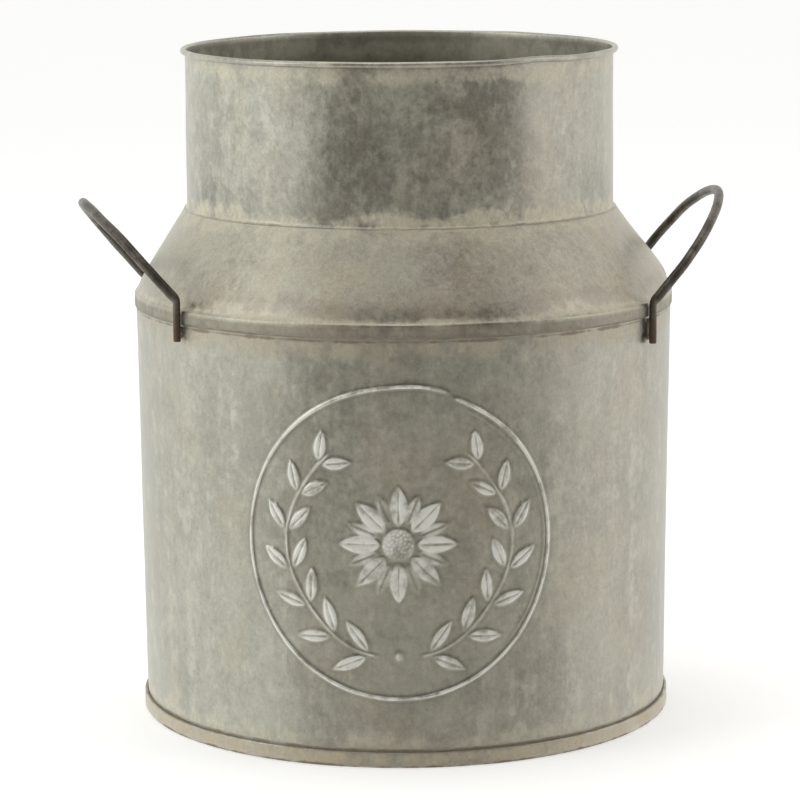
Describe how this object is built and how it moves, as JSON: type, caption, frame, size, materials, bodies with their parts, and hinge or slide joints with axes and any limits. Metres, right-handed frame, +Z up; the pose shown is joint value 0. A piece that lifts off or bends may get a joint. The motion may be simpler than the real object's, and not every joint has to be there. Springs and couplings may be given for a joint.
{
  "type": "milk can",
  "caption": "Open-topped sheet-metal milk can with a cone shoulder, straight neck, curled wired rim, embossed round seal and two rigid wire handles.",
  "frame": {"origin": "on the can's axis, in the plane that the base seam stands on", "axes": "+Z up along the can's axis towards the mouth, -Y towards the front with the embossed seal, +X towards the right handle"},
  "size_m": [0.2761, 0.232, 0.2856],
  "materials": {
    "zinc_body": "aged zinc, mottled, satin",
    "zinc_shoulder": "aged zinc with tan oxide, satin",
    "zinc_neck": "aged zinc, mottled, satin",
    "zinc_base": "aged zinc with rust at the seam",
    "hoop_wire": "dull drawn wire",
    "handle_wire": "dark oxidised drawn wire",
    "weld_metal": "rust-brown weld"
  },
  "bodies": {
    "root": {"body_wall": "zinc_body", "base_pan": "zinc_base", "shoulder_cone": "zinc_shoulder", "neck_wall": "zinc_neck", "rim_wire": "hoop_wire", "left_handle": "handle_wire", "right_handle": "handle_wire", "left_handle_welds": "weld_metal", "right_handle_welds": "weld_metal"}
  },
  "joints": []
}
